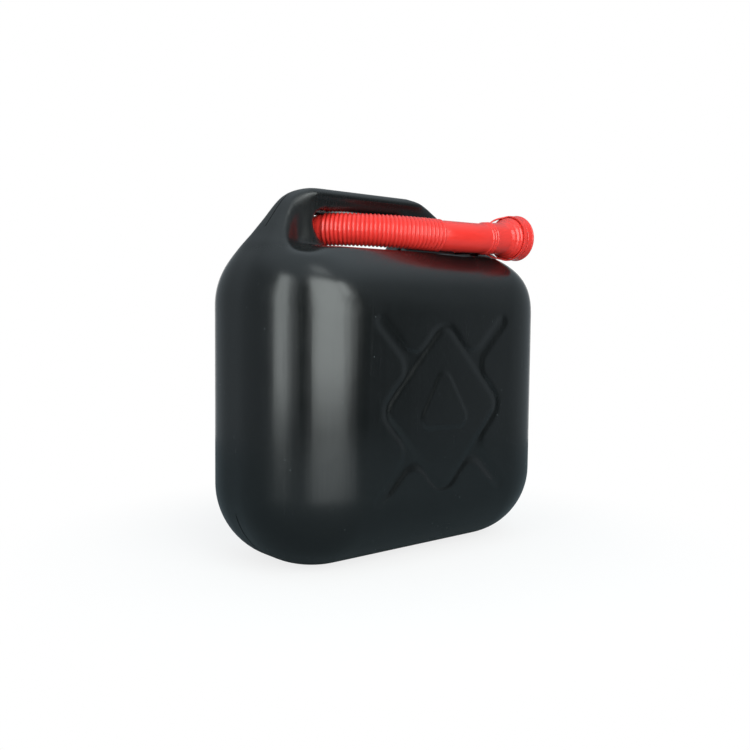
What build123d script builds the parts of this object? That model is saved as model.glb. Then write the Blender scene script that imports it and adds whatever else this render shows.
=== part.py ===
"""Ten-litre plastic fuel can with its flexible pouring spout stowed through the hand hole.

Millimetres, +Z up. The origin is the centre of the base, on the surface the can stands on.
X runs along the broad sides from the handle post to the filler neck, Y runs front to back.
The can is one blow moulding; the spout, the two-piece cap and its leash are soft mouldings.
"""

import os
from math import atan2, cos, degrees, pi, radians, sin, sqrt, tan

from build123d import *

os.makedirs("parts", exist_ok=True)

# Can shell: the shoulder draws in from the walls to the shelf that carries handle and neck
body_w, body_t, can_h = 313.0, 164.0, 315.0
corner_r, base_r = 73.0, 66.0
wall = 2.2
handle_h, shoulder_h = 50.0, 60.0
shelf_in_x, shelf_in_y, shelf_in_r = 42.0, 35.0, 38.0
slope = radians(54.8)
slope_top_in, slope_bend_r, top_bend_r = 54.5, 70.0, 33.0
shelf_z = can_h - handle_h
shoulder_z = shelf_z - shoulder_h
slope_top_x = -body_w / 2 + slope_top_in

# Handle and hand hole: the web between the recesses, the leg on the neck side, the roof
web_y, roof_t, roof_half, roof_r, roof_run = 14.0, 7.0, 9.0, 8.0, 54.0
pocket_in, leg_in = 49.5, 76.5
flare_x, flare_in, flare_z = 32.0, 26.0, 8.0
hole_in, hole_leg, hole_sill, grip_t = 69.5, 65.0, 1.0, 17.5
hole_low_r, hole_high_r, hole_leg_r = 25.0, 5.0, 13.0
rim_soft, crest_soft = 5.0, 8.0
rim_z = can_h - roof_t
pocket_x = -body_w / 2 + pocket_in
leg_x = body_w / 2 - leg_in
flare_y = body_t / 2 - flare_in
hole_x0, hole_x1 = -body_w / 2 + hole_in, leg_x - hole_leg
hole_z0, hole_z1 = shelf_z + hole_sill, can_h - grip_t

# Filler neck on its boss
neck_in, neck_drop, neck_r, neck_wall = 45.5, 27.0, 21.0, 3.4
boss_h, boss_flare, boss_root = 5.0, 2.5, 15.0
neck_x = body_w / 2 - neck_in
neck_top = can_h - neck_drop
bore_r = neck_r - neck_wall
boss_z = shelf_z + boss_h

# Pressed channels on both broad faces, centred on the height of the shelf
channel_w, channel_d, channel_over = 9.0, 2.4, 1.0
arm_x0, arm_z0, arm_x1, arm_z1 = 36.0, 38.0, 70.8, 72.2
pad_x, pad_z = 66.5, 71.0
ring_r, branch_r = 16.0, 14.0
channel_z = shelf_z / 2

# Raised drop in the middle of each diamond
drop_x, drop_low, drop_high, drop_r, drop_h = 26.0, 25.0, 36.0, 9.0, 0.6

# Cap, seal and leash
thread_gap, cap_wall = 0.3, 3.7
cap_r = neck_r + thread_gap + cap_wall
boss_r = cap_r + 2.0
lip_w, ring_lip, lip_gap = 1.6, 2.8, 0.4
ring_open_r = neck_r - lip_w
seal_t, seal_in, disc_t, disc_in, disc_panel = 1.2, 0.5, 2.4, 0.2, 2.4
flutes, flute_r = 24, 1.6
leash_t, leash_lift, leash_ring_w, leash_gap = 1.5, 0.4, 4.0, 0.5
strap_w, loop_w, loop_gap = 3.6, 4.0, 0.6
tab_w, tab_len, tab_out = 9.0, 11.0, 5.4

# Spout: turned collar, then hose
mouth_r, mouth_gap, mouth_in, mouth_ahead = 21.2, 4.9, 30.9, 11.5
collar_len, plain_len, tube_r = 51.5, 48.0, 13.4
rib_h, root_d, hose_wall = 0.8, 1.0, 2.0
nozzle_r, nozzle_wall, hose_under = 11.0, 1.6, 0.3
ribs, rib_pitch = 30, 3.45
rib_r, root_r, bore_hose = tube_r + rib_h, tube_r - root_d, tube_r - hose_wall
mouth_x = neck_x + mouth_ahead
mouth_y = -max(cap_r + mouth_gap + mouth_r, body_t / 2 - mouth_in)
loop_seat_r = mouth_r - 2.3
loop_r = loop_seat_r + loop_gap + leash_t
loop_u = 11.6


def left_edge(z):
    """X of the handle end of the can at height z: upright, sloped, then rounded over."""
    bend_z = can_h + (-body_w / 2 - slope_top_x) * tan(slope)
    low = slope_bend_r * tan((pi / 2 - slope) / 2)
    high = top_bend_r * tan(slope / 2)
    if z <= bend_z - low:
        return -body_w / 2
    if z <= bend_z + low * sin(slope):
        return -body_w / 2 + slope_bend_r - sqrt(slope_bend_r**2 - (z - bend_z + low) ** 2)
    if z <= can_h - high * sin(slope):
        return slope_top_x - (can_h - z) / tan(slope)
    return slope_top_x + high - sqrt(top_bend_r**2 - (z - can_h + top_bend_r) ** 2)


# The can's form drawn in by t: its outside for 0, the space inside it for the wall
forms = []
for t in (0, wall):
    with BuildPart() as form:
        with BuildSketch(Plane.XY.offset(t)):
            RectangleRounded(body_w - 2 * t, body_t - 2 * t, corner_r - t)
        tank = extrude(amount=shoulder_z - t)
        fillet(tank.edges().group_by(Axis.Z)[0], base_r - t)
        # Shoulder, drawn in to the shelf: shares of its height, end inset, side inset, corner
        for rise, end, side, corner in (
            (0, 0, 0, 0),
            (0.1167, 0, 0, 0),
            (0.2667, 0.0143, 0.0286, 0.0395),
            (0.4333, 0.0571, 0.1086, 0.1316),
            (0.6, 0.1548, 0.2571, 0.2895),
            (0.75, 0.3214, 0.4714, 0.5),
            (0.8833, 0.5833, 0.7286, 0.75),
            (1, 1, 1, 1),
        ):
            z = shoulder_z + rise * shoulder_h
            left, right = left_edge(z) + t, body_w / 2 - end * shelf_in_x - t
            half = body_t / 2 - side * shelf_in_y - t
            with BuildSketch(Plane.XY.offset(z - t * rise)):
                with Locations(((left + right) / 2, 0)):
                    RectangleRounded(right - left, 2 * half, corner_r - corner * shelf_in_r - t)
        loft()
        # Roof of the handle: shares of its height and of the run, depth and corner drawn in
        for rise, run, deep, corner in (
            (0, 0, 0, 0),
            (0.16, 0.0185, 0.25, 0.2963),
            (0.32, 0.0741, 0.4474, 0.537),
            (0.48, 0.1944, 0.5658, 0.6481),
            (0.64, 0.3519, 0.6447, 0.7222),
            (0.78, 0.5185, 0.7105, 0.7778),
            (0.88, 0.6667, 0.7763, 0.8333),
            (0.95, 0.8056, 0.8553, 0.8889),
            (1, 1, 1, 1),
        ):
            z = shelf_z + rise * handle_h
            left, right = left_edge(z) + t, leg_x - run * roof_run - t
            half = (1 - deep) * (body_t / 2 - shelf_in_y) + deep * roof_half - t
            r = (1 - corner) * (corner_r - shelf_in_r) + corner * roof_r - t
            with BuildSketch(Plane.XY.offset(z - t)):
                with Locations(((left + right) / 2, 0)):
                    RectangleRounded(right - left, 2 * half, r)
        loft()
        # Recess each side of the handle web, flaring outward, then the hand hole
        for side in (-1, 1):
            for y, left, top, r in (
                (web_y - t, pocket_x - t, rim_z + t, 8),
                (flare_y, pocket_x - t - flare_x, rim_z + t + flare_z, 14),
            ):
                with BuildSketch(Plane.XZ.offset(side * y)) as recess:
                    with BuildLine():
                        Polyline(
                            (left, shelf_z - t),
                            (left, top),
                            (body_w, top),
                            (body_w, shelf_z - t),
                            close=True,
                        )
                    make_face()
                    fillet(recess.vertices().sort_by(Axis.X)[:2], r)
            loft(mode=Mode.SUBTRACT)
        with BuildSketch(Plane.XZ) as hand_hole:
            with BuildLine():
                Polyline(
                    (hole_x0 - t, hole_z0 - t),
                    (hole_x0 - t, hole_z1 + t),
                    (hole_x1 + t, hole_z1 + t),
                    (hole_x1 + t, hole_z0 - t),
                    close=True,
                )
            make_face()
            low, high = hand_hole.vertices().sort_by(Axis.X)[:2].sort_by(Axis.Y)
            fillet(low, min(hole_low_r, hole_z1 - hole_z0 - hole_high_r - 1) + t)
            fillet(high, hole_high_r + t)
            fillet(hand_hole.vertices().sort_by(Axis.X)[-2:], hole_leg_r + t)
        extrude(amount=body_t, both=True, mode=Mode.SUBTRACT)
        # Channels: a ring round the diamond pad with an arm running out from each side
        half = channel_w / 2 + t
        lean = atan2(pad_x, pad_z)
        arm = atan2(arm_z1 - arm_z0, arm_x1 - arm_x0)
        for side in (-1, 1):
            start = -side * (body_t / 2 - t + channel_over)
            face = Plane((0, start, channel_z), z_dir=(0, -1, 0), x_dir=(1, 0, 0))
            with BuildSketch(face) as channels:
                with BuildLine():
                    FilletPolyline(
                        (pad_x + half / cos(lean), 0),
                        (0, pad_z + half / sin(lean)),
                        (-pad_x - half / cos(lean), 0),
                        (0, -pad_z - half / sin(lean)),
                        radius=ring_r + t,
                        close=True,
                    )
                make_face()
                for sx, sz in ((-1, -1), (-1, 1), (1, -1), (1, 1)):
                    with Locations((sx * (arm_x0 + arm_x1) / 2, sz * (arm_z0 + arm_z1) / 2)):
                        SlotCenterToCenter(
                            sqrt((arm_x1 - arm_x0) ** 2 + (arm_z1 - arm_z0) ** 2),
                            2 * half,
                            rotation=sx * sz * degrees(arm),
                        )
                branches = [
                    v
                    for v in channels.vertices()
                    if ring_r < abs(v.X) < arm_x1 - half and abs(v.Y) > ring_r
                ]
                fillet(branches, branch_r - t)
                with BuildLine():
                    FilletPolyline(
                        (pad_x - t / cos(lean), 0),
                        (0, pad_z - t / sin(lean)),
                        (-pad_x + t / cos(lean), 0),
                        (0, -pad_z + t / sin(lean)),
                        radius=ring_r - channel_w / 2,
                        close=True,
                    )
                make_face(mode=Mode.SUBTRACT)
            extrude(amount=-side * (channel_d + channel_over), mode=Mode.SUBTRACT)
    forms.append(form.part)

with BuildPart() as can_body:
    add(forms[0])
    # Soft edge round the hand hole, and a softened front edge to the shelf
    rim = [
        e
        for e in can_body.edges()
        if abs(abs(e.center().Y) - web_y) < 0.01 and e.bounding_box().min.Z > shelf_z + 0.5
        and e.bounding_box().min.X > hole_x0 - 0.5
        and e.bounding_box().max.X < hole_x1 + 0.5
        and e.bounding_box().max.Z < rim_z - 0.5
    ]
    fillet(rim, rim_soft)
    crest = [
        e
        for e in can_body.edges()
        if abs(e.bounding_box().max.Z - shelf_z) < 0.01
        and e.bounding_box().size.Z < 0.01
        and (abs(e.center().Y) > body_t / 2 - shelf_in_y - 1 or e.center().X > leg_x + 5)
        and e.bounding_box().max.X > slope_top_x + 2
    ]
    fillet(crest, crest_soft)
    # Filler neck on its boss
    with BuildSketch(Plane.XY.offset(shelf_z - boss_root)):
        with Locations((neck_x, 0)):
            Circle(boss_r + boss_flare)
    with BuildSketch(Plane.XY.offset(boss_z)):
        with Locations((neck_x, 0)):
            Circle(boss_r)
    loft()
    with BuildSketch(Plane.XY.offset(shelf_z)):
        with Locations((neck_x, 0)):
            Circle(neck_r)
    extrude(amount=neck_top - shelf_z)
    # Raised drop-shaped pad in the middle of each diamond
    for side in (-1, 1):
        face = Plane((0, -side * body_t / 2, channel_z), z_dir=(0, -side, 0), x_dir=(side, 0, 0))
        with BuildSketch(face):
            with BuildLine():
                FilletPolyline(
                    (-drop_x, -drop_low), (drop_x, -drop_low), (0, drop_high), radius=drop_r, close=True
                )
            make_face()
        extrude(amount=drop_h)
    add(forms[1], mode=Mode.SUBTRACT)
    with BuildSketch(Plane.XY.offset(shelf_z - 20)):
        with Locations((neck_x, 0)):
            Circle(bore_r)
    extrude(amount=neck_top - shelf_z + 21, mode=Mode.SUBTRACT)
can_body.part.label = "can_body"
export_step(can_body.part, "parts/can_body.step")

# Cap, in two pieces and a seal: a screw ring clamps a loose disc on the neck rim
seal_z = neck_top
with BuildPart() as cap_seal:
    with BuildSketch(Plane.XY.offset(seal_z)):
        with Locations((neck_x, 0)):
            Circle(neck_r - seal_in)
            Circle(bore_r, mode=Mode.SUBTRACT)
    extrude(amount=seal_t)
cap_seal.part.label = "cap_seal"
export_step(cap_seal.part, "parts/cap_seal.step")

disc_z = seal_z + seal_t
with BuildPart() as cap_disc:
    with BuildSketch(Plane.XY.offset(disc_z)):
        with Locations((neck_x, 0)):
            Circle(neck_r - disc_in)
    extrude(amount=disc_t)
    with BuildSketch(Plane.XY.offset(disc_z + disc_t)):
        with Locations((neck_x, 0)):
            Circle(ring_open_r - lip_gap)
    extrude(amount=disc_panel)
    top = cap_disc.edges().group_by(Axis.Z)[-1]
    chamfer(top, 0.8)
cap_disc.part.label = "cap_disc"
export_step(cap_disc.part, "parts/cap_disc.step")

lip_z = disc_z + disc_t
skirt_z = boss_z + leash_lift + leash_t + leash_gap
with BuildPart() as cap_ring:
    with BuildSketch(Plane.XY.offset(skirt_z)):
        with Locations((neck_x, 0)):
            Circle(cap_r)
            Circle(neck_r + thread_gap, mode=Mode.SUBTRACT)
    extrude(amount=lip_z - skirt_z)
    with BuildSketch(Plane.XY.offset(lip_z)):
        with Locations((neck_x, 0)):
            Circle(cap_r)
            Circle(ring_open_r, mode=Mode.SUBTRACT)
    extrude(amount=ring_lip)
    chamfer(cap_ring.edges().group_by(Axis.Z)[-1].sort_by(Edge.length)[-1], 1.5)
    # Finger flutes
    with BuildSketch(Plane.XY.offset(skirt_z)):
        with Locations((neck_x, 0)):
            with PolarLocations(cap_r + 0.5, flutes):
                Circle(flute_r)
    extrude(amount=lip_z - skirt_z - flute_r, mode=Mode.SUBTRACT)
cap_ring.part.label = "cap_ring"
export_step(cap_ring.part, "parts/cap_ring.step")

# Spout: straight collar end, then the hose curving back through the hand hole
tube_z = hole_z1 - rib_r - hose_under
heading, tilt = radians(3.0), radians(3.4)
mouth = Vector(mouth_x, mouth_y, tube_z + 0.4)
inward = Vector(-cos(heading) * cos(tilt), -sin(heading) * cos(tilt), -sin(tilt))
knee = mouth + inward * collar_len
way_out = Vector(hole_x0 - 3.0, 46.0, tube_z)
# Hose on its way to the hand hole: shares of the run along X and along Y, and sag
hose_points = [
    (knee.X + along * (way_out.X - knee.X), knee.Y + across * (way_out.Y - knee.Y), tube_z - sag)
    for along, across, sag in (
        (0.127, 0.008, 3.1),
        (0.311, 0.052, 2.9),
        (0.473, 0.133, 1.9),
        (0.603, 0.243, 1.0),
        (0.736, 0.409, 0.2),
        (0.839, 0.599, 0),
    )
]
with BuildLine() as run:
    Spline(knee, *hose_points, way_out, tangents=[inward, (-0.53, 0.85, 0)])
hose = run.edges()[0]
collar_plane = Plane(origin=mouth, x_dir=inward, z_dir=inward.cross(Vector(0, 0, 1)))


def station(u):
    """Plane square to the hose at a distance u along it from the end of the collar."""
    at = u / hose.length
    return Plane(origin=hose @ at, x_dir=(0, 0, 1), z_dir=hose % at)


with BuildPart() as spout:
    # Collar turned about its own axis: mouth ring, groove, stepped flare, three small ribs
    with BuildSketch(collar_plane):
        with BuildLine():
            Polyline(
                (0, mouth_r),
                (1.4, mouth_r),
                (1.8, mouth_r - 0.5),
                (7.8, mouth_r - 0.5),
                (8.4, loop_seat_r + 0.2),
                (14.5, loop_seat_r),
                (16.0, loop_seat_r - 1.1),
                (17.6, loop_seat_r - 1.2),
                (19.4, tube_r + 2.7),
                (21.2, tube_r + 2.6),
                (24.5, tube_r + 0.9),
                (42.3, tube_r + 0.8),
                (43.0, tube_r + 1.4),
                (43.7, tube_r + 0.7),
                (45.5, tube_r + 0.7),
                (46.2, tube_r + 1.3),
                (46.9, tube_r + 0.6),
                (48.7, tube_r + 0.6),
                (49.4, tube_r + 1.2),
                (50.1, tube_r + 0.3),
                (collar_len, tube_r),
                (collar_len, bore_hose),
                (24.5, bore_hose),
                (18.5, bore_hose + 3.1),
                (9.0, loop_seat_r - 2.0),
                (0, bore_r + 0.2),
                close=True,
            )
        make_face()
    revolve(axis=Axis(mouth, inward))
    # Plain hose, ribbed hose, then the cone down to the nozzle
    radii = [(plain_len * k / 5, tube_r) for k in range(6)]
    radii += [
        (plain_len + 0.6 + rib_pitch * (k + 1) / 2, root_r if k % 2 else rib_r)
        for k in range(2 * ribs)
    ]
    ribbed = radii[-1][0]
    radii += [(ribbed + 1.4, tube_r - 0.3), (ribbed + 7.5, nozzle_r + 0.6)]
    radii += [(ribbed + 9 + (hose.length - ribbed - 9) * k / 4, nozzle_r - 0.2 * k) for k in range(5)]
    for u, r in radii:
        with BuildSketch(station(u)):
            Circle(r)
    loft(ruled=True)
    for k in range(15):
        u = ribbed * k / 14
        with BuildSketch(station(u)):
            Circle(bore_hose)
    with BuildSketch(station(ribbed + 8)):
        Circle(nozzle_r - nozzle_wall)
    for k in range(1, 5):
        with BuildSketch(station(ribbed + 8 + (hose.length - ribbed - 8) * k / 4)):
            Circle(nozzle_r - 0.2 - nozzle_wall - 0.2 * k)
    loft(ruled=True, mode=Mode.SUBTRACT)
spout.part.label = "spout"
export_step(spout.part, "parts/spout.step")

# Leash: flat ring under the cap, and a strap looped round the flare of the collar
loop_at = mouth + inward * loop_u
tab_at = Vector(neck_x, 0) + Vector(-0.543, -0.84) * (neck_r + leash_ring_w + tab_out)
up = Vector(0, 0, 1)
# Each strand of the loop: point, direction of run and direction of the strap's width
upper = (
    (loop_at + up * (loop_r - leash_t / 2), (-0.25, 0.95, -0.15), inward),
    (tab_at + (10.0, -14.0, tube_z + 17.0), (-0.6, 0.65, -0.45), (-0.75, -0.65, 0)),
    (tab_at + (1.5, -7.0, tube_z + 5.0), (-0.4, 0.25, -0.9), (-0.65, -0.75, 0)),
    (tab_at + (-1.5, -2.0, boss_z + 1.2), (0.1, 0.5, -0.85), (-0.75, -0.65, 0)),
)
lower = (
    (loop_at - up * (loop_r - leash_t / 2), (-0.25, 0.95, 0.15), inward),
    (tab_at + (10.0, -14.0, tube_z - 17.6), (-0.6, 0.72, 0.35), (-0.75, -0.65, 0)),
    (tab_at + (0.5, -1.0, boss_z + 1.2), (-0.45, 0.88, 0.12), (-0.88, -0.45, 0)),
)
with BuildPart() as leash:
    with BuildSketch(Plane.XY.offset(boss_z + leash_lift)):
        with Locations((neck_x, 0)):
            Circle(neck_r + leash_ring_w)
        with Locations(tab_at):
            Rectangle(tab_w, tab_len, rotation=32)
        with Locations((neck_x, 0)):
            Circle(neck_r + leash_lift, mode=Mode.SUBTRACT)
    extrude(amount=leash_t)
    with BuildSketch(Plane(origin=loop_at - inward * loop_w / 2, z_dir=inward, x_dir=(0, 0, 1))):
        Circle(loop_r)
        Circle(loop_r - leash_t, mode=Mode.SUBTRACT)
    extrude(amount=loop_w)
    for strand in (upper, lower):
        for point, run_dir, wide_dir in strand:
            with BuildSketch(Plane(origin=point, z_dir=run_dir, x_dir=wide_dir)):
                Rectangle(strap_w, leash_t)
        loft()
leash.part.label = "leash"
export_step(leash.part, "parts/leash.step")
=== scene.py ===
"""Ten-litre plastic fuel can, black, with its red pouring spout stowed through the hand hole.

Metres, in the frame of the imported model: the origin is the centre of the base, X runs along the
broad sides from the handle post to the filler neck, Y from front to back, +Z up.
"""

from math import cos, pi, radians, sin

import bmesh
import bpy
import numpy as np
from mathutils import Matrix, Vector
from mathutils.bvhtree import BVHTree


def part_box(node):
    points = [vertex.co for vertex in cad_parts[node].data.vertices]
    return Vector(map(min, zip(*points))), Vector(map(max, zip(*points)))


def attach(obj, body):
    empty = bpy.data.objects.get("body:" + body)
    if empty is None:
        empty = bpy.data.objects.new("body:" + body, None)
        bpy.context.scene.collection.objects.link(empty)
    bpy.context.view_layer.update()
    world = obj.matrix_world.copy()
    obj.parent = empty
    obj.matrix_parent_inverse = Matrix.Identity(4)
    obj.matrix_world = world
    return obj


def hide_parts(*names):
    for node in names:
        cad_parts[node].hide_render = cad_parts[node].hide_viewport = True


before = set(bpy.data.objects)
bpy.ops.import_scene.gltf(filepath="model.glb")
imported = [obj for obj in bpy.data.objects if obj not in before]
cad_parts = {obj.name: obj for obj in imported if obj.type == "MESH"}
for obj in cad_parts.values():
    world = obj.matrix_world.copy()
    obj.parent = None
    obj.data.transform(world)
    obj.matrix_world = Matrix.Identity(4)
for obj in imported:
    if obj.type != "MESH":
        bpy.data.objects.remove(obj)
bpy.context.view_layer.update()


# ---- Camera ---------------------------------------------------------------------------------
# Stands eighty centimetres from the can's middle, two thirds of the way up it, and looks almost
# level at the corner between the front and the handle end.

scene = bpy.context.scene
scene.view_settings.view_transform = "Standard"
UP = Vector((0, 0, 1))
EYE = Vector((-0.52096, -0.60868, 0.21017))
yaw, pitch, roll = radians(40.13), radians(-3.943), radians(0.591)
ahead = Vector((sin(yaw) * cos(pitch), cos(yaw) * cos(pitch), sin(pitch)))
level = Vector((cos(yaw), -sin(yaw), 0))
right = level * cos(roll) + level.cross(ahead) * sin(roll)
lens = bpy.data.cameras.new("camera")
lens.lens, lens.sensor_width = 42.15, 36
camera = bpy.data.objects.new("camera", lens)
facing = Matrix((right, right.cross(ahead), -ahead)).transposed()
camera.matrix_world = Matrix.Translation(EYE) @ facing.to_4x4()
scene.collection.objects.link(camera)
scene.camera = camera


# ---- Softboxes ------------------------------------------------------------------------------
# A broad key panel left of the front, with dimmer panels that let its reflection fade out to the
# right and upward, and a narrow strip beyond the handle end. All stand upright and face the can.

LAMP_TINT = (0.93, 1.0, 0.985)
# Name, degrees from the front towards the filler end, distance, width, height, radiance, lift
SOFTBOXES = (
    ("key_softbox", -20, 1.2, 0.88, 1.35, 5.0, 0.01),
    ("key_edge", 4.5, 1.2, 0.17, 1.3, 3.4, 0.05),
    ("key_fringe", 13, 1.2, 0.18, 1.24, 1.3, 0.11),
    ("key_falloff", 22, 1.2, 0.18, 1.2, 0.35, 0.15),
    ("key_shoulder", 10, 1.2, 0.28, 0.7, 2.8, 0.7),
    ("key_rise", -20, 1.2, 0.8, 0.22, 3.0, 1.36),
    ("key_crown", -15, 0.8, 0.5, 0.9, 1.5, 1.35),
    ("strip_softbox", -77, 1.2, 0.36, 1.25, 4.0, 0.01),
    ("strip_edge", -63, 1.2, 0.2, 1.2, 0.8, 0.01),
)
for name, azimuth, distance, width, height, radiance, lift in SOFTBOXES:
    lamp = bpy.data.lights.new(name, "AREA")
    lamp.shape, lamp.size, lamp.size_y = "RECTANGLE", width, height
    lamp.energy = radiance * pi * width * height
    lamp.color = LAMP_TINT
    stand = bpy.data.objects.new(name, lamp)
    out = Vector((sin(radians(azimuth)), -cos(radians(azimuth)), 0))
    stand.location = out * distance + UP * (height / 2 + lift)
    stand.rotation_euler = Matrix((UP.cross(out), UP, out)).transposed().to_euler()
    scene.collection.objects.link(stand)


# ---- Room -----------------------------------------------------------------------------------
# Dim and cool, darkest in front behind the softboxes and brighter overhead. The wall beyond the
# can is white, also where the can mirrors it, so that only the can's rims pick that white up.


def srgb(code):
    """Linear colour with alpha from a hex code such as "#EC3B35"."""
    parts = [int(code[i : i + 2], 16) / 255 for i in (1, 3, 5)]
    return (*((v / 12.92 if v <= 0.04045 else ((v + 0.055) / 1.055) ** 2.4) for v in parts), 1)


def feed(tree, node, inputs):
    """Gives a node's inputs their values, or the nodes or sockets that feed them."""
    for key, value in inputs.items():
        if isinstance(value, bpy.types.Node):
            value = value.outputs[0]
        if isinstance(value, bpy.types.NodeSocket):
            tree.links.new(value, node.inputs[key])
        else:
            node.inputs[key].default_value = value


def add(tree, kind, inputs=(), **settings):
    """Adds a shader node with its settings and feeds its inputs, given in order or by name."""
    node = tree.nodes.new("ShaderNode" + kind)
    for key, value in settings.items():
        setattr(node, key, value)
    feed(tree, node, inputs if isinstance(inputs, dict) else dict(enumerate(inputs)))
    return node


# A MapRange node with these settings goes smoothly from one value to the other
SOFT = {"interpolation_type": "SMOOTHSTEP"}

world = bpy.data.worlds.new("studio")
scene.world = world
world.use_nodes = True
tree = world.node_tree
direction = add(tree, "TexCoord").outputs["Generated"]
FRONT = (-0.156, -0.988, 0)
frontward = add(tree, "VectorMath", (direction, FRONT), operation="DOT_PRODUCT").outputs["Value"]
onward = add(tree, "VectorMath", (direction, ahead), operation="DOT_PRODUCT").outputs["Value"]
upward = add(tree, "SeparateXYZ", (direction,)).outputs["Z"]
walls = add(tree, "MapRange", (frontward, 0.50, 0.72, 0.38, 0.025), **SOFT)
ceiling = add(tree, "MapRange", (upward, 0.5, 0.95, 0.0, 0.6), **SOFT)
room = add(tree, "Math", (walls, ceiling), operation="ADD")
path = add(tree, "LightPath").outputs
mirrored = add(tree, "Math", (path["Is Glossy Ray"], path["Is Transmission Ray"]), operation="MAXIMUM")
beyond_can = add(tree, "MapRange", (onward, 0.85, 0.95), **SOFT)
mirrored = add(tree, "Math", (mirrored, beyond_can), operation="MULTIPLY")
seen = add(tree, "Math", (path["Is Camera Ray"], mirrored), operation="MAXIMUM")
cool = add(tree, "Background", {"Color": srgb("#DCEAF2"), "Strength": room})
backdrop = add(tree, "Background", {"Color": (1, 1, 1, 1), "Strength": 1.0})
both = add(tree, "MixShader", (seen, cool, backdrop))
feed(tree, tree.nodes["World Output"], {"Surface": both})


# ---- Floor ----------------------------------------------------------------------------------
# A pale painted round table top. It is white to the eye, with the can's shadow close round it.
# What the can mirrors of it is painted grey shade, with a painted pool of light at the key's feet.


def material(name, **values):
    """A new material; returns it, its nodes, its shader and the object's own coordinates."""
    made = bpy.data.materials.new(name)
    made.use_nodes = True
    tree = made.node_tree
    shader = tree.nodes["Principled BSDF"]
    feed(tree, shader, values)
    return made, tree, shader, add(tree, "TexCoord").outputs["Object"]


def angles(count):
    return [2 * pi * k / count for k in range(count)]


def piece(name, mesh, finish, smooth_angle=60):
    """Links a mesh as an object, with outward faces, smooth shading and its material."""
    shape = bmesh.new()
    shape.from_mesh(mesh)
    bmesh.ops.recalc_face_normals(shape, faces=shape.faces)
    shape.to_mesh(mesh)
    shape.free()
    mesh.materials.clear()
    mesh.materials.append(finish)
    made = bpy.data.objects.new(name, mesh)
    scene.collection.objects.link(made)
    mesh.shade_smooth()
    mesh.set_sharp_from_angle(angle=radians(smooth_angle))
    return made


def pale_paint():
    """Matt off-white paint; its own light lifts it to white further out, and only to the eye.
    Other rays see painted grey shade, with a painted pool of light towards the key softbox.
    """
    made, tree, shader, point = material("pale_floor", Roughness=0.7)
    path = add(tree, "LightPath").outputs
    outward = add(tree, "VectorMath", (point,), operation="NORMALIZE")
    keyward = add(tree, "VectorMath", (outward, (-0.342, -0.94, 0)), operation="DOT_PRODUCT")
    distance = add(tree, "VectorMath", (point,), operation="LENGTH").outputs["Value"]
    # Painted light: for rays other than the camera's, painted grey shade, and a painted pool of light
    # out towards the key softbox
    sector = add(tree, "MapRange", (keyward.outputs["Value"], 0.80, 0.97), **SOFT)
    reach = add(tree, "MapRange", (distance, 0.26, 0.62), **SOFT)
    key_light_pool = add(tree, "Math", (sector, reach), operation="MULTIPLY")
    painted_pool_tone = add(tree, "MixRGB", (key_light_pool, srgb("#717C81"), srgb("#FCFEFF")))
    tone = add(tree, "MixRGB", (path["Is Camera Ray"], painted_pool_tone, srgb("#F4F4F4")))
    feed(tree, shader, {"Base Color": tone})
    fade = add(tree, "MapRange", (distance, 0.15, 0.36, 0.80, 1.0), **SOFT)
    white = add(tree, "Math", (path["Is Camera Ray"], fade), operation="MULTIPLY")
    glow = add(tree, "Emission", {"Strength": 1.0})
    lit = add(tree, "MixShader", (white, shader, glow))
    feed(tree, tree.nodes["Material Output"], {"Surface": lit})
    return made


FLOOR_R, FLOOR_SIDES = 0.75, 96
rim = [(FLOOR_R * cos(a), FLOOR_R * sin(a), 0) for a in angles(FLOOR_SIDES)]
floor_mesh = bpy.data.meshes.new("floor")
floor_mesh.from_pydata(rim, [], [range(FLOOR_SIDES)])
floor = piece("floor", floor_mesh, pale_paint())


# ---- Can body -------------------------------------------------------------------------------
# One blow moulding of black high-density polyethylene: tank, handle, post, hand hole and neck. The
# skin is remeshed evenly and smoothed, so that its forms run into each other as blown plastic
# does, and the hollow follows it inside at the thickness of the wall.

MM = 0.001
ring_low, ring_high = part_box("cap_ring")
neck = Vector(((ring_low.x + ring_high.x) / 2, 0, 0))
NECK_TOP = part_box("cap_seal")[0].z
NECK_R, SHELF_Z, BOSS_Z = 21 * MM, 265 * MM, 270 * MM
WALL, VOXEL = 2.0 * MM, 1.4 * MM


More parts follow.
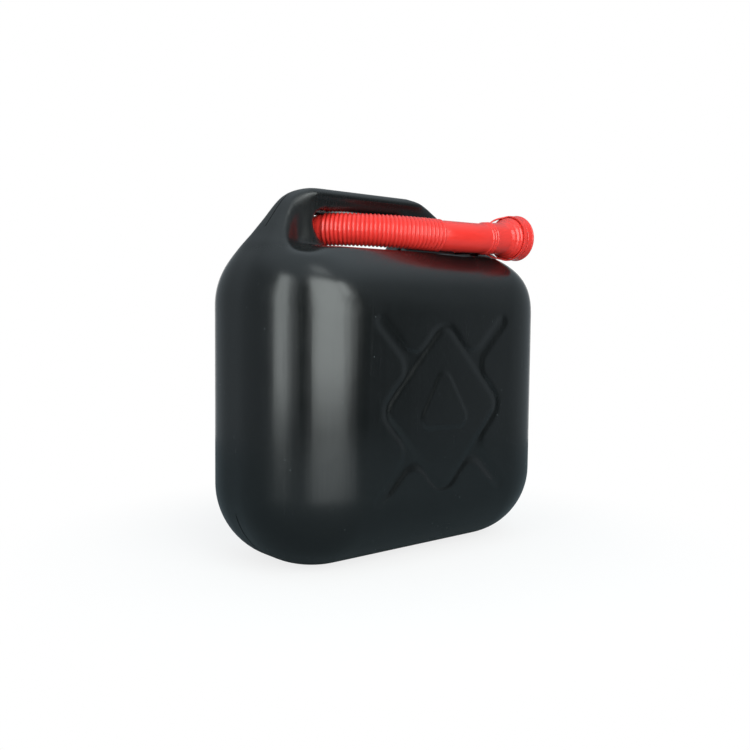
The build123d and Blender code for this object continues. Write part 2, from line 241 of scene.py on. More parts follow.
def can_plastic():
    """Black polyethylene blown against a blasted mould: a satin skin, IOR 1.54, with a fine grain
    and upright drag lines, loose groups of dust specks, and hairline scuffs."""
    CLOUD, WAVE, SPECK, SPECK_GROUP, HAIR_GROUP = 30 * MM, 60 * MM, 9 * MM, 30 * MM, 45 * MM
    # The real grain and scuffs, about 0.2 mm wide, are too fine to show, so they are drawn coarser
    DRAG, HAIR, GRAIN = 1.6 * MM, 0.9 * MM, 0.9 * MM
    made, tree, shader, point = material("black_polyethylene", IOR=1.54)
    x, y, z = add(tree, "SeparateXYZ", (point,)).outputs[:3]

    # Seam where the mould halves meet, over the handle post, and the pinch-off low on that end
    off_seam = add(tree, "Math", (y,), operation="ABSOLUTE")
    line = add(tree, "MapRange", (off_seam, 0.35 * MM, 0.75 * MM, 1, 0), **SOFT)
    high_up = add(tree, "MapRange", (z, 280 * MM, 281.2 * MM), **SOFT)
    at_post = add(tree, "MapRange", (x, -87 * MM, -85 * MM, 1, 0), **SOFT)
    over_post = add(tree, "Math", (high_up, at_post), operation="MULTIPLY")
    above_base = add(tree, "MapRange", (z, 12 * MM, 16 * MM), **SOFT)
    under_side = add(tree, "MapRange", (z, 50 * MM, 46 * MM), **SOFT)
    at_end = add(tree, "MapRange", (x, -110 * MM, -100 * MM, 1, 0), **SOFT)
    pinch = add(tree, "Math", (above_base, under_side), operation="MULTIPLY")
    pinch = add(tree, "Math", (pinch, at_end), operation="MULTIPLY")
    run = add(tree, "Math", (over_post, pinch), operation="MAXIMUM")
    seam = add(tree, "Math", (line, run), operation="MULTIPLY")

    # Dust specks in loose groups, and scuffs as fine as hairs
    dots = add(tree, "TexVoronoi", {"Vector": point, "Scale": 1 / SPECK, "Randomness": 1.0})
    dots = add(tree, "MapRange", (dots, 0.03, 0.06, 1, 0), **SOFT)
    groups = add(tree, "TexNoise", {"Vector": point, "Scale": 1 / SPECK_GROUP})
    groups = add(tree, "MapRange", (groups, 0.5, 0.62), **SOFT)
    specks = add(tree, "Math", (dots, groups), operation="MULTIPLY")
    slanted = add(tree, "Mapping", {"Vector": point, "Rotation": (0.1, 0.5, 0), "Scale": (1, 1, 0.07)})
    hairs = add(tree, "TexNoise", {"Vector": slanted, "Scale": 1 / HAIR, "Detail": 1})
    hairs = add(tree, "MapRange", (hairs, 0.74, 0.79, 0, 0.25), **SOFT)
    tufts = add(tree, "TexNoise", {"Vector": point, "Scale": 1 / HAIR_GROUP, "Detail": 1})
    tufts = add(tree, "MapRange", (tufts, 0.55, 0.65), **SOFT)
    hairs = add(tree, "Math", (hairs, tufts), operation="MULTIPLY")
    marks = add(tree, "Math", (specks, hairs), operation="MAXIMUM")

    cloud = add(tree, "TexNoise", {"Vector": point, "Scale": 1 / CLOUD, "Detail": 4, "Roughness": 0.6})
    black = add(tree, "MixRGB", (cloud, srgb("#090B0B"), srgb("#0E1011")))
    dust = add(tree, "Math", (marks, 0.6), operation="MULTIPLY")
    dusty = add(tree, "MixRGB", (dust, black, srgb("#5E6668")))
    lined = add(tree, "MixRGB", (seam, dusty, srgb("#020202")))

    # Drag lines, marks and the post that hands have dulled are rougher than the rest
    upright = add(tree, "Mapping", {"Vector": point, "Scale": (1, 1, 0.02)})
    drag = add(tree, "TexNoise", {"Vector": upright, "Scale": 1 / DRAG, "Detail": 3})
    drag = add(tree, "MapRange", (drag, 0.45, 0.75, 0, 0.05), **SOFT)
    satin = add(tree, "MapRange", (cloud, 0.3, 0.7, 0.20, 0.23), **SOFT)
    worn = add(tree, "Math", (marks, 0.2, drag), operation="MULTIPLY_ADD")
    roughness = add(tree, "Math", (satin, worn), operation="ADD")
    reached = add(tree, "MapRange", (z, 255 * MM, 275 * MM), **SOFT)
    held = add(tree, "MapRange", (x, -105 * MM, -80 * MM, 0.16, 0.03), **SOFT)
    handled = add(tree, "Math", (reached, held), operation="MULTIPLY")
    roughness = add(tree, "Math", (roughness, handled), operation="ADD")

    waves = add(tree, "TexNoise", {"Vector": point, "Scale": 1 / WAVE, "Detail": 1})
    grain = add(tree, "TexNoise", {"Vector": point, "Scale": 1 / GRAIN})
    groove = add(tree, "Math", (1.0, seam), operation="SUBTRACT")
    normal = add(tree, "Bump", {"Height": waves, "Distance": 0.25 * MM})
    normal = add(tree, "Bump", {"Height": grain, "Distance": 0.01 * MM, "Normal": normal})
    normal = add(tree, "Bump", {"Height": groove, "Distance": 0.4 * MM, "Normal": normal})
    sheen = add(tree, "Math", (seam, -0.5, 0.5), operation="MULTIPLY_ADD")
    feed(tree, shader, {
        "Base Color": lined, "Roughness": roughness, "Specular IOR Level": sheen, "Normal": normal,
    })
    return made


BLACK = can_plastic()


def of_neck(at):
    """True on the walls of the neck, from its rim down into the space inside."""
    return (at.xy - neck.xy).length < NECK_R + 0.2 * MM and at.z > BOSS_Z - 25 * MM


def halves():
    """The can's mesh in two: its outer surface closed over the neck, and its neck and hollow."""
    outer = bmesh.new()
    outer.from_mesh(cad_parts["can_body"].data)
    bmesh.ops.remove_doubles(outer, verts=outer.verts, dist=1e-6)
    inner = outer.copy()
    for shape, is_outer in ((outer, True), (inner, False)):
        neck_faces = [f for f in shape.faces if all(of_neck(v.co) for v in f.verts)]
        if is_outer:
            bmesh.ops.delete(shape, geom=neck_faces, context="FACES")
        # From the top of the handle, everything that is reached without the neck is outer surface
        start = max((v for v in shape.verts if v.co.x < -50 * MM), key=lambda v: v.co.z)
        wall = {v for f in neck_faces if f.is_valid for v in f.verts}
        reached, front = {start}, [start]
        while front:
            around = {e.other_vert(v) for v in front for e in v.link_edges} - reached - wall
            reached |= around
            front = list(around)
        lost = [v for v in shape.verts if (v in reached) != is_outer]
        bmesh.ops.delete(shape, geom=lost, context="VERTS")
    bmesh.ops.holes_fill(outer, edges=[e for e in outer.edges if e.is_boundary])
    bmesh.ops.triangulate(outer, faces=outer.faces)
    meshes = []
    for name, shape in (("outer", outer), ("hollow", inner)):
        mesh = bpy.data.meshes.new(name)
        shape.to_mesh(mesh)
        shape.free()
        meshes.append(mesh)
    return meshes


def modified(shape, kind, **settings):
    """Adds a modifier and applies it at once."""
    modifier = shape.modifiers.new(kind.lower(), kind)
    for key, value in settings.items():
        setattr(modifier, key, value)
    evaluated = shape.evaluated_get(bpy.context.evaluated_depsgraph_get())
    applied = bpy.data.meshes.new_from_object(evaluated)
    shape.modifiers.clear()
    shape.data = applied


def step(values, low, high):
    """0 below low, 1 above high, smooth between; low may be the larger."""
    t = np.clip((values - low) / (high - low), 0, 1)
    return t * t * (3 - 2 * t)


def vertices(shape):
    return np.array([v.co for v in shape.data.vertices]).T


def moved(shape, x, y, z):
    shape.data.vertices.foreach_set("co", np.column_stack([x, y, z]).ravel())
    shape.data.update()


def smoothed(shape, name, weights, rounds):
    """Evens out part of a mesh; weights are 0 where it stays as it is."""
    group = shape.vertex_groups.new(name=name)
    tenths = np.round(weights, 1)
    for weight in np.unique(tenths[tenths > 0]):
        group.add(np.flatnonzero(tenths == weight).tolist(), float(weight), "REPLACE")
    modified(shape, "SMOOTH", factor=0.5, iterations=rounds, vertex_group=name)


def search_tree(mesh):
    return BVHTree.FromPolygons([v.co for v in mesh.vertices], [p.vertices for p in mesh.polygons])


outer, hollow = halves()
can_skin = piece("can_skin", outer, BLACK, 180)
modified(can_skin, "REMESH", mode="VOXEL", voxel_size=VOXEL)

# Broad faces: the channels are kept as a map of depths, taken out here, and pressed in again
# softly further down. The map is blurred over nearly two of its points.
BASE_R, FACE_Y, MAP_STEP, CHANNEL_SHARE = 66 * MM, 82 * MM, 1 * MM, 0.36


def face_at(z):
    """How far out the plain broad face stands, with its round into the base."""
    return FACE_Y - (BASE_R - np.sqrt(BASE_R**2 - np.clip(BASE_R - z, 0, BASE_R) ** 2))


def panel_at(x, z):
    """1 over the part of the broad face that the channels cross."""
    return step(abs(x), 83 * MM, 80 * MM) * step(z, 30 * MM, 40 * MM) * step(z, 212.5 * MM, 211.5 * MM)


map_x = np.arange(-86 * MM, 86.5 * MM, MAP_STEP)
map_z = np.arange(26 * MM, 218 * MM, MAP_STEP)
rays, inwards = search_tree(outer), Vector((0, 1, 0))
depth = np.array([[rays.ray_cast(Vector((u, -0.2, w)), inwards)[0].y for w in map_z] for u in map_x])
depth = np.clip(depth + face_at(map_z), 0, None) * panel_at(map_x[:, None], map_z)
kernel = np.exp(-0.5 * (np.arange(-6, 7) / 1.7) ** 2)
kernel /= kernel.sum()
for axis in (0, 1):
    depth = np.apply_along_axis(np.convolve, axis, depth, kernel, "same")


def channel_depth(x, z):
    """Depth of the channels, read from the map between its points."""
    u = np.clip((x - map_x[0]) / MAP_STEP, 0, len(map_x) - 1.001)
    w = np.clip((z - map_z[0]) / MAP_STEP, 0, len(map_z) - 1.001)
    i, j, a, b = u.astype(int), w.astype(int), u % 1, w % 1
    near = depth[i, j] * (1 - b) + depth[i, j + 1] * b
    far = depth[i + 1, j] * (1 - b) + depth[i + 1, j + 1] * b
    return near * (1 - a) + far * a


def on_broad_face(y):
    return step(abs(y), 70 * MM, 74 * MM)


x, y, z = vertices(can_skin)
y = y + np.sign(y) * (face_at(z) - abs(y)) * panel_at(x, z) * on_broad_face(y)

# Handle post: on both sides a soft hollow runs from a ridge, which leans with the post, to the web
HOLLOW_X, HOLLOW_TOP, HANDLE_TOP = -88 * MM, 302 * MM, 311 * MM
WEB_Y, VALLEY = 14 * MM, 2 * MM
ridge_x = -99.5 * MM - 0.155 * (304 * MM - z)
across_hollow = np.clip((HOLLOW_X - x) / (HOLLOW_X - ridge_x), 0, 1)
valley = VALLEY * across_hollow * step(z, HOLLOW_TOP, 288 * MM)
flank = (0.2 + 21.0 * (HOLLOW_TOP - z)) * np.clip(ridge_x - x, 0, None)
hollow_y = WEB_Y - valley + flank
foot_z = 256 * MM + 10 * MM * step(x, -118 * MM, -90 * MM)
in_hollow = (abs(y) > 11.5 * MM) * (x < HOLLOW_X) * step(z, foot_z, foot_z + 12 * MM)
in_hollow = in_hollow * step(z, HANDLE_TOP, HOLLOW_TOP)
y = y - np.sign(y) * np.clip(abs(y) - hollow_y, 0, None) * in_hollow

# Hand hole: its high corner by the post is a wide curve, and its ceiling runs flat to the back
HOLE_X, HOLE_TOP, CORNER_R = -87 * MM, 297.5 * MM, 10.5 * MM
corner_x, corner_z = HOLE_X + CORNER_R, HOLE_TOP - CORNER_R
away = np.hypot(x - corner_x, z - corner_z)
in_corner = (x < corner_x) * (z > corner_z) * (abs(y) < 13.8 * MM)
in_corner = in_corner * (away > CORNER_R) * (away < CORNER_R * 1.6)
pull = np.where(in_corner, CORNER_R / np.maximum(away, 1e-6), 1.0)
x, z = corner_x + (x - corner_x) * pull, corner_z + (z - corner_z) * pull
window = step(x, -94 * MM, -86 * MM) * step(x, 22 * MM, 16 * MM)
ceiling = step(y, 7 * MM, 10 * MM) * window * (z > HOLE_TOP) * step(z, HANDLE_TOP, 302.5 * MM)
z = z - np.clip(z - HOLE_TOP, 0, 4.2 * MM) * ceiling
back_lip = step(y, 8.5 * MM, 12 * MM) * window * step(z, 292 * MM, 296.5 * MM)
z = z - 2.8 * MM * back_lip * step(z, 309 * MM, 300 * MM)
moved(can_skin, x, y, z)
modified(can_skin, "REMESH", mode="VOXEL", voxel_size=VOXEL)

# Smoothing: most on the post, less on shoulder and handle, least inside the hole
x, y, z = vertices(can_skin)
in_hole = step(abs(y), 16 * MM, 12 * MM) * step(z, 266 * MM, 270 * MM)
in_hole = in_hole * step(x, -92 * MM, -88 * MM) * step(x, 24 * MM, 18 * MM)
shoulder = step(z, 212 * MM, 240 * MM)
post = step(x, -82 * MM, -96 * MM) * step(z, 225 * MM, 250 * MM)
handle_roof = 0.4 * step(z, 300 * MM, 304 * MM)
for name, weights, rounds in (
    ("all_over", 1 - in_hole, 6),
    ("upper_part", shoulder * (1 - in_hole), 24),
    ("handle_post", np.maximum(post, handle_roof) * (1 - in_hole), 100),
    ("hole_edge", in_hole, 4),
):
    smoothed(can_skin, name, weights, rounds)

# Channels, and the raised drop between them: corners in the front view, and how far it stands up
DROP = np.array([(-0.5, 153.2), (-16.6, 124.2), (18.0, 123.6)]) * MM
DROP_R, DROP_EDGE, DROP_H = 8.6 * MM, 1.3 * MM, 0.45 * MM


def beyond(corners, x, z):
    """Distance outside a polygon of the front view, negative inside it."""
    gaps, inside = [], np.ones(len(x), bool)
    for (ax, az), (bx, bz) in zip(corners, np.roll(corners, -1, 0)):
        run, rise = bx - ax, bz - az
        along = np.clip(((x - ax) * run + (z - az) * rise) / (run**2 + rise**2), 0, 1)
        gaps.append(np.hypot(x - ax - along * run, z - az - along * rise))
        inside &= (x - ax) * rise - (z - az) * run < 0
    gap = np.min(gaps, 0)
    return np.where(inside, -gap, gap)


x, y, z = vertices(can_skin)
raised = DROP_H * step(beyond(DROP, x, z), DROP_R + DROP_EDGE, DROP_R - DROP_EDGE)
raised -= CHANNEL_SHARE * channel_depth(x, z)
moved(can_skin, x, y + np.sign(y) * raised * on_broad_face(y), z)


def near_neck(at):
    return (at.xy - neck.xy).length < 26 * MM and at.z > SHELF_Z - 12 * MM


# Hollow: its upper part is split finely and pushed inside the skin, except at the neck
LONGEST_EDGE, SPLIT_ABOVE = 6 * MM, 190 * MM
skin_tree = search_tree(can_skin.data)
shape = bmesh.new()
shape.from_mesh(hollow)
for _ in range(5):
    long_edges = [
        e
        for e in shape.edges
        if e.calc_length() > LONGEST_EDGE
        and max(v.co.z for v in e.verts) > SPLIT_ABOVE
        and not any(near_neck(v.co) for v in e.verts)
    ]
    bmesh.ops.subdivide_edges(shape, edges=long_edges, cuts=1)
    bmesh.ops.triangulate(shape, faces=[f for f in shape.faces if len(f.verts) > 3])
for vertex in shape.verts:
    if not near_neck(vertex.co):
        place, normal, _, _ = skin_tree.find_nearest(vertex.co)
        if (vertex.co - place).dot(normal) > -WALL:
            vertex.co = place - normal * WALL
shape.to_mesh(hollow)
shape.free()


def ring_mesh(name, rings, closed=False):
    """Quads between rings of equal length; closed joins the last ring to the first."""
    around = len(rings[0])
    faces = []
    for i in range(len(rings) if closed else len(rings) - 1):
        a, b = i * around, (i + 1) % len(rings) * around
        faces += [(a + j, a + (j + 1) % around, b + (j + 1) % around, b + j) for j in range(around)]
    mesh = bpy.data.meshes.new(name)
    mesh.from_pydata([tuple(p) for ring in rings for p in ring], [], faces)
    return mesh


# Thread: two and a half turns stand on the neck and fade out at both ends
THREAD_TURNS, THREAD_PITCH, THREAD_H = 2.5, 4.2 * MM, 0.95 * MM
THREAD_LOW, THREAD_FADE, STEPS_A_TURN = NECK_TOP - 14 * MM, 0.15, 60
THREAD_SECTION = (
    (-0.3 * MM, -1.3 * MM), (THREAD_H, -0.5 * MM), (THREAD_H, 0.5 * MM), (-0.3 * MM, 1.3 * MM),
)
rings = []
for k in range(int(THREAD_TURNS * STEPS_A_TURN) + 1):
    turn = k / STEPS_A_TURN
    fade = min(1.0, turn / THREAD_FADE, (THREAD_TURNS - turn) / THREAD_FADE) * 0.98 + 0.02
    radial = Vector((cos(2 * pi * turn), sin(2 * pi * turn), 0))
    level = THREAD_LOW + THREAD_PITCH * turn
    rings.append([
        neck + radial * (NECK_R + r * fade) + UP * (level + h * fade) for r, h in THREAD_SECTION
    ])
thread = piece("neck_thread", ring_mesh("neck_thread", rings), BLACK)

# Skin, opened under the neck, with the hollow and the thread
shape = bmesh.new()
shape.from_mesh(can_skin.data)
under_neck = [
    f
    for f in shape.faces
    if (f.calc_center_median().xy - neck.xy).length < NECK_R - 2 * MM
    and f.calc_center_median().z > SHELF_Z - 15 * MM
]
bmesh.ops.delete(shape, geom=under_neck, context="FACES")
shape.from_mesh(hollow)
shape.from_mesh(thread.data)
bpy.data.objects.remove(thread)
shape.to_mesh(can_skin.data)
shape.free()
can_skin.data.materials.clear()
can_skin.data.materials.append(BLACK)
can_skin.data.shade_smooth()
can_skin.data.set_sharp_from_angle(angle=radians(50))
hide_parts("can_body")
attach(can_skin, "can")


# ---- Spout ----------------------------------------------------------------------------------
# One soft moulding of red polyethylene, in millimetres here: a straight collar, plain hose, thirty
# corrugations and the cone to the nozzle, stowed on a line that curves through the hand hole.


def red_plastic():
    """Soft red polyethylene from a polished mould: glossy, IOR 1.52, and slightly uneven."""
    CLOUD, WAVE, GRAIN = 18 * MM, 14 * MM, 0.7 * MM
    made, tree, shader, point = material("red_polyethylene", IOR=1.52)
    cloud = add(tree, "TexNoise", {"Vector": point, "Scale": 1 / CLOUD, "Detail": 3})
    red = add(tree, "MixRGB", (cloud, srgb("#D2302A"), srgb("#DB352E")))
    gloss = add(tree, "MapRange", (cloud, 0.3, 0.7, 0.17, 0.24), **SOFT)
    waves = add(tree, "TexNoise", {"Vector": point, "Scale": 1 / WAVE, "Detail": 1})
    grain = add(tree, "TexNoise", {"Vector": point, "Scale": 1 / GRAIN})
    normal = add(tree, "Bump", {"Height": waves, "Distance": 0.08 * MM})
    normal = add(tree, "Bump", {"Height": grain, "Distance": 0.006 * MM, "Normal": normal})
    feed(tree, shader, {"Base Color": red, "Roughness": gloss, "Normal": normal})
    return made


RED = red_plastic()
TUBE_R, RIB_R, ROOT_R, BORE_R, NOZZLE_R = 13.4, 14.2, 13.0, 11.4, 11.0
MOUTH_R, MOUTH_BORE_R, GROOVE_R = 21.2, 17.8, 17.7
COLLAR, PLAIN, RIBS, PITCH, STEPS_A_RIB = 51.5, 48.0, 30, 3.45, 8
heading, tilt = radians(3.0), radians(3.4)
mouth = Vector((122.5, -51.1, 283.4))
inward = Vector((-cos(heading) * cos(tilt), -sin(heading) * cos(tilt), -sin(tilt)))
ROUTE = [
    mouth + inward * COLLAR,
    (50.7, -53.0, 279.9),
    (21.0, -48.6, 280.1),
    (-5.0, -40.5, 281.1),
    (-26.0, -29.5, 282.0),
    (-47.5, -13.0, 282.8),
    (-64.0, 6.0, 283.0),
    (-90.0, 46.0, 283.0),
]


def smooth_line(points, start, end, steps=60):
    """Points along the twice-smooth cubic through points, with its end directions, and lengths."""
    points = np.array([tuple(p) for p in points], float)
    chord = np.linalg.norm(np.diff(points, axis=0), axis=1)
    count = len(points)
    lhs, rhs = np.zeros((count, count)), np.zeros((count, 3))
    lhs[0, 0] = lhs[-1, -1] = 1
    rhs[0], rhs[-1] = (np.array(tuple(v)) / np.linalg.norm(tuple(v)) for v in (start, end))
    for i in range(1, count - 1):
        a, b = chord[i - 1], chord[i]
        lhs[i, i - 1 : i + 2] = b, 2 * (a + b), a
        rhs[i] = 3 * (b / a * (points[i] - points[i - 1]) + a / b * (points[i + 1] - points[i]))
    slope = np.linalg.solve(lhs, rhs)
    line = []
    for i in range(count - 1):
        t = np.linspace(0, 1, steps, endpoint=i == count - 2)[:, None]
        h = chord[i]
        line.append(
            (1 + 2 * t) * (1 - t) ** 2 * points[i]
            + t * (1 - t) ** 2 * h * slope[i]
            + t * t * (3 - 2 * t) * points[i + 1]
            + t * t * (t - 1) * h * slope[i + 1]
        )
    line = np.vstack(line)
    length = np.concatenate([[0], np.cumsum(np.linalg.norm(np.diff(line, axis=0), axis=1))])
    return line, length


def softened(points, radius, steps=3):
    """A profile with each inner corner rounded by an arc-like run of steps + 1 points."""
    soft = [points[0]]
    for before, corner, after in zip(points, points[1:], points[2:]):
        before, corner, after = (np.array(p, float) for p in (before, corner, after))
        to_before, to_after = before - corner, after - corner
        reach = min(radius, *(np.linalg.norm(v) * 0.45 for v in (to_before, to_after)))
        start = corner + to_before / np.linalg.norm(to_before) * reach
        end = corner + to_after / np.linalg.norm(to_after) * reach
        for k in range(steps + 1):
            t = k / steps
            soft.append(tuple((1 - t) ** 2 * start + 2 * t * (1 - t) * corner + t * t * end))
    return soft + [points[-1]]


line, length = smooth_line(ROUTE, inward, (-0.53, 0.85, 0))


def point_on_hose(u):
    return Vector([np.interp(u, length, line[:, k]) for k in range(3)])


def hose_rings(profile, around=72):
    """Rings square to the hose; the profile lists (distance from the collar, radius)."""
    rings = []
    for u, r in profile:
        if u <= 0:
            at, run = mouth + inward * (COLLAR + u), inward
        else:
            at = point_on_hose(u)
            run = (point_on_hose(u + 0.5) - point_on_hose(u - 0.5)).normalized()
        side = run.cross(UP).normalized()
        up = side.cross(run)
        rings.append([(at + (side * cos(a) + up * sin(a)) * r) * MM for a in angles(around)])
    return rings


# Collar from the mouth: flange, step, groove for the leash's loop, waist, and three beads
COLLAR_PROFILE = [
    (0, MOUTH_BORE_R), (0, MOUTH_R), (1.6, MOUTH_R), (1.9, 20.7), (7.9, 20.7), (8.3, 19.1),
    (14.5, 18.9), (16.0, 17.8), (17.6, GROOVE_R), (19.4, 16.1), (21.2, 16.0), (24.5, 14.3),
    (42.3, 14.2), (43.0, 14.8), (43.7, 14.1), (45.5, 14.1), (46.2, 14.7), (46.9, 14.0),
    (48.7, 14.0), (49.4, 14.6), (50.1, 13.7), (COLLAR, TUBE_R),
]
COLLAR_BORE = [(COLLAR, BORE_R), (24.5, BORE_R), (18.5, 14.5), (9.0, 16.9), (0, MOUTH_BORE_R)]
outside = [(u - COLLAR, r) for u, r in softened(COLLAR_PROFILE, 0.7)]
outside += [(u, TUBE_R) for u in np.arange(3, PLAIN, 3)]
rib_start = PLAIN + 0.6
for k in range(RIBS * STEPS_A_RIB):
    turn = k / STEPS_A_RIB
    crest = (0.5 - 0.5 * cos(2 * pi * turn)) ** 0.5
    outside.append((rib_start + PITCH * turn, ROOT_R + (RIB_R - ROOT_R) * crest))
cone = rib_start + PITCH * RIBS
nozzle, tip = cone + 14, length[-1]
outside += softened(
    [
        (cone + 0.4, TUBE_R - 0.5), (cone + 3, TUBE_R - 0.4),
        (cone + 8, NOZZLE_R + 0.3), (nozzle, NOZZLE_R - 0.1),
    ],
    2,
)
outside += [(nozzle + (tip - nozzle) * k / 6, NOZZLE_R - 0.1 - 0.11 * k) for k in range(1, 7)]
inside = [
    (tip, NOZZLE_R - 2.4), (tip - 12, NOZZLE_R - 2.2), (cone + 9, NOZZLE_R - 1.7), (cone - 2, BORE_R),
]
inside += [(u, BORE_R) for u in np.arange(cone - 6, 1, -6)]
inside += [(u - COLLAR, r) for u, r in softened(COLLAR_BORE, 1.2)]
spout_mesh = ring_mesh("spout_skin", hose_rings(outside + inside[:-1]), closed=True)
spout = piece("spout_skin", spout_mesh, RED, 40)
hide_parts("spout")
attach(spout, "spout")


# ---- Leash ----------------------------------------------------------------------------------
# One strap of the spout's red polyethylene, in millimetres here: a flat ring held round the neck
# under the cap, a tab, and two strands that open into a loop round the groove of the collar.

LEASH_T, LOOP_R, LOOP_W, STRAP_W, STRAP_EDGE_R = 1.5, 21.0, 4.0, 3.6, 0.4
STRAP_SIDES, LOOP_STEPS, STRAND_STEPS = 20, 96, 24
NECK_RING_R, LOOP_IN = 23.2, 11.6
neck_axis, leash_z = Vector((111.0, 0, 0)), 271.15
outward = Vector((-0.543, -0.84, 0))
crosswise = UP.cross(outward)
loop_at = mouth + inward * LOOP_IN
tab_at = neck_axis + outward * 30.4
# Each strand's stations, with the direction of the strap's width there, and its two end directions
STRANDS = (
    (
        (
            (loop_at + UP * (LOOP_R - LEASH_T / 2), inward),
            (tab_at + Vector((10.0, -14.0, 300.0)), (-0.75, -0.65, 0)),
            (tab_at + Vector((1.5, -7.0, 288.0)), (-0.65, -0.75, 0)),
            (tab_at + Vector((-1.5, -2.0, 271.2)), (-0.75, -0.65, 0)),
        ),
        (-0.25, 0.95, -0.15),
        (0.1, 0.5, -0.85),
    ),
    (
        (
            (loop_at - UP * (LOOP_R - LEASH_T / 2), inward),
            (tab_at + Vector((10.0, -14.0, 265.4)), (-0.75, -0.65, 0)),
            (tab_at + Vector((0.5, -1.0, 271.2)), (-0.88, -0.45, 0)),
        ),
        (-0.25, 0.95, 0.15),
        (-0.45, 0.88, 0.12),
    ),
)
# Distance from the neck's axis and width of the tab, down to its rounded end
TAB = ((23.5, 10), (26, 9), (30, 8.6), (34, 8), (35.5, 6.6), (36.4, 4.2), (36.8, 1.6))


def section(at, wide, thin, width, thick):
    """A rounded strap section, in metres, across two directions."""
    corners = []
    for k in range(STRAP_SIDES):
        a = 2 * pi * (k + 0.5) / STRAP_SIDES
        c, s = cos(a), sin(a)
        across = np.sign(c) * min(1.0, abs(c) * 1.5) * (width / 2 - STRAP_EDGE_R) + STRAP_EDGE_R * c
        over = np.sign(s) * min(1.0, abs(s) * 1.5) * (thick / 2 - STRAP_EDGE_R) + STRAP_EDGE_R * s
        corners.append((at + wide * across + thin * over) * MM)
    return corners


straps = []
for stations, start, end in STRANDS:
    strand, along = smooth_line([place for place, _ in stations], start, end, STRAND_STEPS)
    knots = along[::STRAND_STEPS][: len(stations) - 1].tolist() + [along[-1]]
    rings = []
    for i, at in enumerate(strand):
        run = Vector(strand[min(i + 1, len(strand) - 1)] - strand[max(i - 1, 0)]).normalized()
        wide = Vector([np.interp(along[i], knots, [w[k] for _, w in stations]) for k in range(3)])
        wide = (wide - run * wide.dot(run)).normalized()
        rings.append(section(Vector(at), wide, run.cross(wide), STRAP_W, LEASH_T))
    straps.append(ring_mesh("strand", rings))
rings = []
for a in angles(LOOP_STEPS):
    out = UP * cos(a) + UP.cross(inward).normalized() * sin(a)
    rings.append(section(loop_at + out * (LOOP_R - LEASH_T / 2), inward, out, LOOP_W, LEASH_T))
straps.append(ring_mesh("loop", rings, closed=True))
rings = []
for a in angles(LOOP_STEPS):
    out = Vector((cos(a), sin(a), 0))
    rings.append(section(neck_axis + UP * leash_z + out * NECK_RING_R, out, UP, STRAP_W, LEASH_T))
straps.append(ring_mesh("neck_ring", rings, closed=True))
rings = [section(neck_axis + UP * leash_z + outward * r, crosswise, UP, w, LEASH_T) for r, w in TAB]
straps.append(ring_mesh("tab", rings))
shape = bmesh.new()
for strap in straps:
    shape.from_mesh(strap)
leash_mesh = bpy.data.meshes.new("leash_skin")
shape.to_mesh(leash_mesh)
shape.free()
leash = piece("leash_skin", leash_mesh, RED, 50)
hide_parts("leash")
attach(leash, "can")


# ---- Cap seal -------------------------------------------------------------------------------
# A flat washer punched from grey rubber. It lies on the neck's rim, and the disc presses on it.

SEAL_BORE_R = 17.6 * MM
seal_low, seal_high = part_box("cap_seal")
seal_r = (seal_high.x - seal_low.x) / 2


def seal_rubber():
    """Grey nitrile rubber, IOR 1.52, moulded as sheet: matt, with a powdery face."""
    CLOUD, GRAIN = 5 * MM, 0.4 * MM
    made, tree, shader, point = material("grey_rubber", IOR=1.52)
    cloud = add(tree, "TexNoise", {"Vector": point, "Scale": 1 / CLOUD, "Detail": 4})
    grey = add(tree, "MixRGB", (cloud, srgb("#303234"), srgb("#3C3E40")))
    matt = add(tree, "MapRange", (cloud, 0.3, 0.7, 0.65, 0.85), **SOFT)
    grain = add(tree, "TexNoise", {"Vector": point, "Scale": 1 / GRAIN})
    normal = add(tree, "Bump", {"Height": grain, "Distance": 0.02 * MM})
    feed(tree, shader, {"Base Color": grey, "Roughness": matt, "Normal": normal})
    return made


def lathe(name, profile, finish, cut=lambda height, radius, angle: 0.0, around=288):
    """A closed piece turned about the neck; the profile lists (height, radius), and cut gives how
    much comes off the radius there, at each angle."""
    rings = []
    for z_at, r in profile:
        radial = [(a, Vector((cos(a), sin(a), 0))) for a in angles(around)]
        rings.append([neck + UP * z_at + out * (r - cut(z_at, r, a)) for a, out in radial])
    return piece(name, ring_mesh(name, rings, closed=True), finish, 40)


seal_profile = softened(
    [
        (seal_low.z + 0.6 * MM, seal_r), (seal_high.z, seal_r), (seal_high.z, SEAL_BORE_R),
        (seal_low.z, SEAL_BORE_R), (seal_low.z, seal_r), (seal_low.z + 0.6 * MM, seal_r),
    ],
    0.35 * MM,
)
cap_seal = lathe("cap_seal_skin", seal_profile[:-1], seal_rubber())
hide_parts("cap_seal")
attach(cap_seal, "seal")


# ---- Cap disc -------------------------------------------------------------------------------
# A loose closing disc moulded in black polypropylene. It lies on the seal, and its raised panel
# shows through the open top of the ring.


def cap_plastic():
    """Black polypropylene, IOR 1.49, from a spark-eroded mould: duller in clouds, finely grained."""
    CLOUD, GRAIN = 12 * MM, 0.6 * MM
    made, tree, shader, point = material("black_polypropylene", IOR=1.49)
    cloud = add(tree, "TexNoise", {"Vector": point, "Scale": 1 / CLOUD, "Detail": 4})
    black = add(tree, "MixRGB", (cloud, srgb("#0C0D0E"), srgb("#141618")))
    satin = add(tree, "MapRange", (cloud, 0.3, 0.7, 0.25, 0.4), **SOFT)
    grain = add(tree, "TexNoise", {"Vector": point, "Scale": 1 / GRAIN})
    normal = add(tree, "Bump", {"Height": grain, "Distance": 0.012 * MM})
    feed(tree, shader, {"Base Color": black, "Roughness": satin, "Normal": normal})
    return made


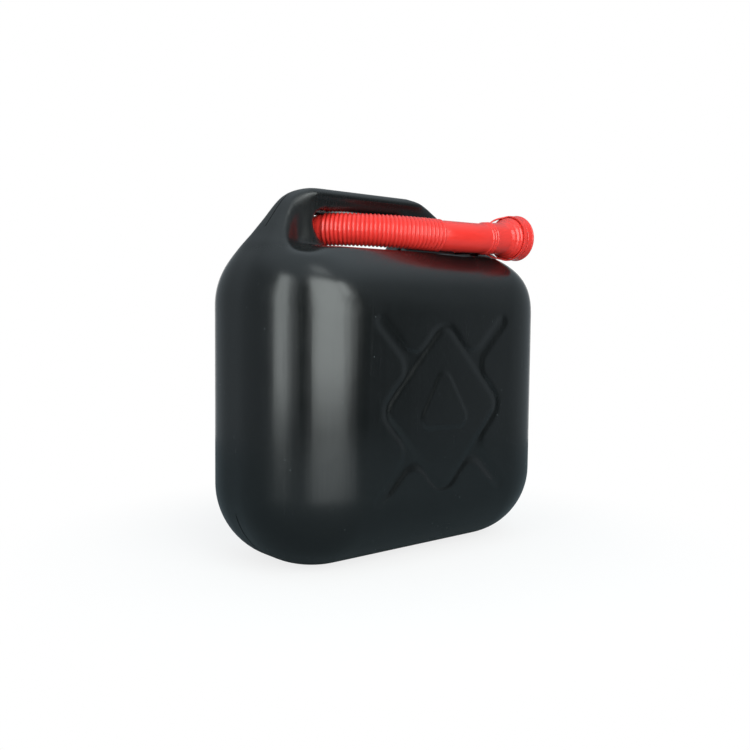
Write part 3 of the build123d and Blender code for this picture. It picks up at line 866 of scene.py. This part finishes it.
CAP = cap_plastic()
disc_low, disc_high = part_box("cap_disc")
disc_r = (disc_high.x - disc_low.x) / 2
DISC_T, PANEL_R, DISH, CENTRE_R = 2.4 * MM, 19.0 * MM, 0.7 * MM, 0.05 * MM
lip_z = disc_low.z + DISC_T
disc_profile = softened(
    [
        (disc_low.z, CENTRE_R), (disc_low.z, disc_r), (lip_z, disc_r), (lip_z, PANEL_R),
        (disc_high.z, PANEL_R), (disc_high.z, PANEL_R - 3 * MM),
        (disc_high.z - DISH, PANEL_R - 4.5 * MM), (disc_high.z - DISH, CENTRE_R),
    ],
    0.5 * MM,
)
cap_disc = lathe("cap_disc_skin", disc_profile, CAP)
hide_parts("cap_disc")
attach(cap_disc, "disc")


# ---- Cap ring -------------------------------------------------------------------------------
# The screw ring, moulded in the disc's black polypropylene with finger flutes round its side. It
# screws down on the neck, and its lip clamps disc and seal.

ring_r = (ring_high.x - ring_low.x) / 2
bore_r, OPEN_R, SEAT_GAP = ring_r - 2.4 * MM, 19.4 * MM, 0.1 * MM
FLUTES, FLUTE_DEPTH, FLUTE_HALF_W = 24, 1.0 * MM, 1.7 * MM
seat_z, flutes_top = lip_z + SEAT_GAP, lip_z - 1 * MM


def flute(height, radius, angle):
    """Depth of the flutes, which are cut only into the outer side below the rim."""
    if radius <= ring_r - 1 * MM or height >= flutes_top:
        return 0.0
    off = abs((angle / (2 * pi) * FLUTES + 0.5) % 1 - 0.5) * 2 * pi * radius / FLUTES
    return FLUTE_DEPTH * max(0.0, 1 - (off / FLUTE_HALF_W) ** 2)


ring_profile = softened(
    [
        (lip_z - 6 * MM, bore_r), (ring_low.z, bore_r), (ring_low.z, ring_r), (lip_z - 6 * MM, ring_r),
        (lip_z - 2 * MM, ring_r), (ring_high.z - 1.5 * MM, ring_r), (ring_high.z, ring_r - 1.8 * MM),
        (ring_high.z, OPEN_R), (seat_z, OPEN_R), (seat_z, bore_r), (lip_z - 6 * MM, bore_r),
    ],
    0.5 * MM,
)
cap_ring = lathe("cap_ring_skin", ring_profile[:-1], CAP, flute)
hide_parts("cap_ring")
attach(cap_ring, "ring")
